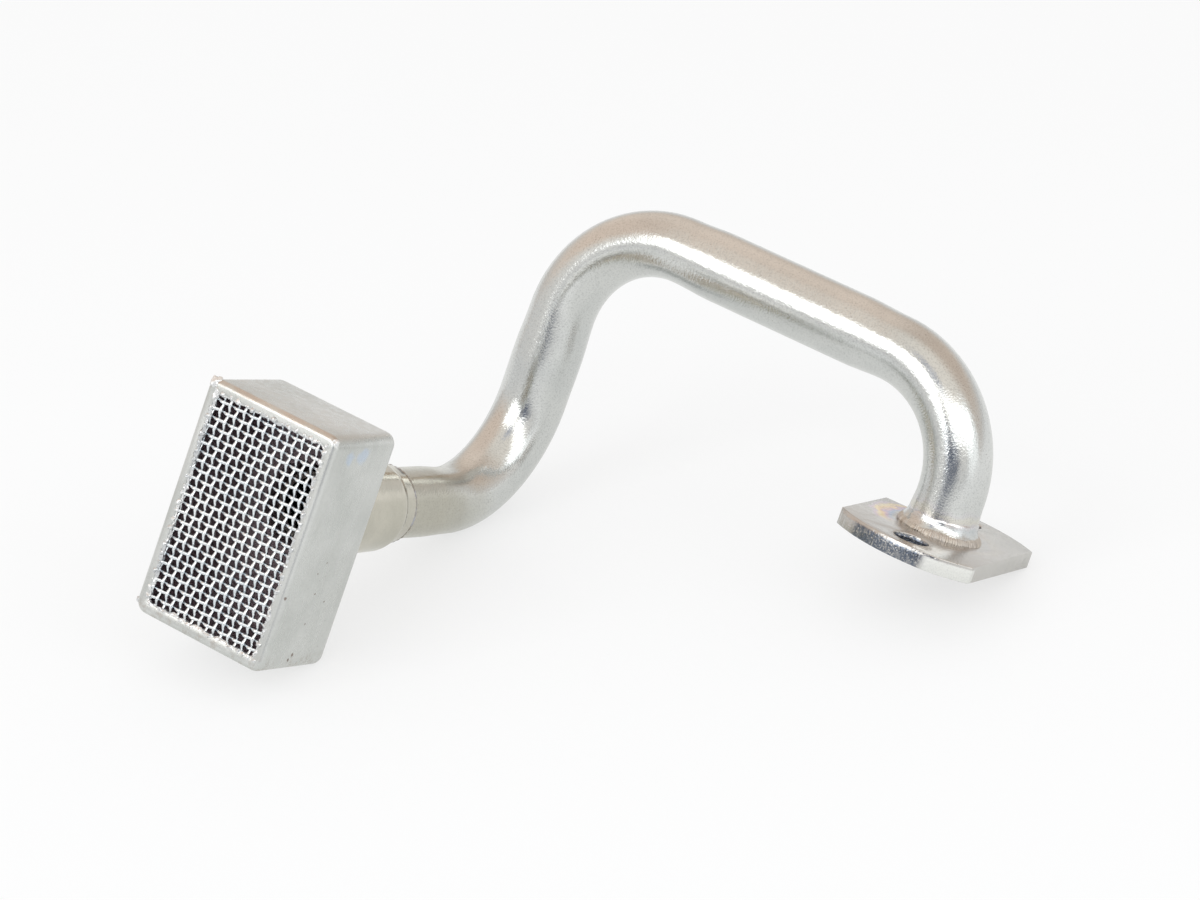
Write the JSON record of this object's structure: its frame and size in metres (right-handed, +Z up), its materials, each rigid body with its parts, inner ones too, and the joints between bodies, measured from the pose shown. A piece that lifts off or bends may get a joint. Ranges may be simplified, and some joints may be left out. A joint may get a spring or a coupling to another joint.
{
  "type": "oil pickup tube",
  "caption": "Bent steel oil pickup tube with a rectangular wire screen strainer at its inlet and a bolted flange plate at its outlet.",
  "frame": {"origin": "centre of the bounding box at the floor the part lies on", "axes": "+Z up from the floor it rests on, +X along the plan of the top run towards the flange"},
  "size_m": [0.1176, 0.1166, 0.0544],
  "materials": {
    "housing_steel": "satin plated",
    "screen_wire": "bright wire",
    "tube_steel": "bright plated",
    "braze": "as brazed",
    "flange_steel": "bright plated",
    "weld": "as welded, tan"
  },
  "bodies": {
    "root": {"strainer_housing": "housing_steel", "strainer_screen": "screen_wire", "suction_tube": "tube_steel", "neck_braze": "braze", "mounting_flange": "flange_steel", "flange_weld": "weld"}
  },
  "joints": []
}
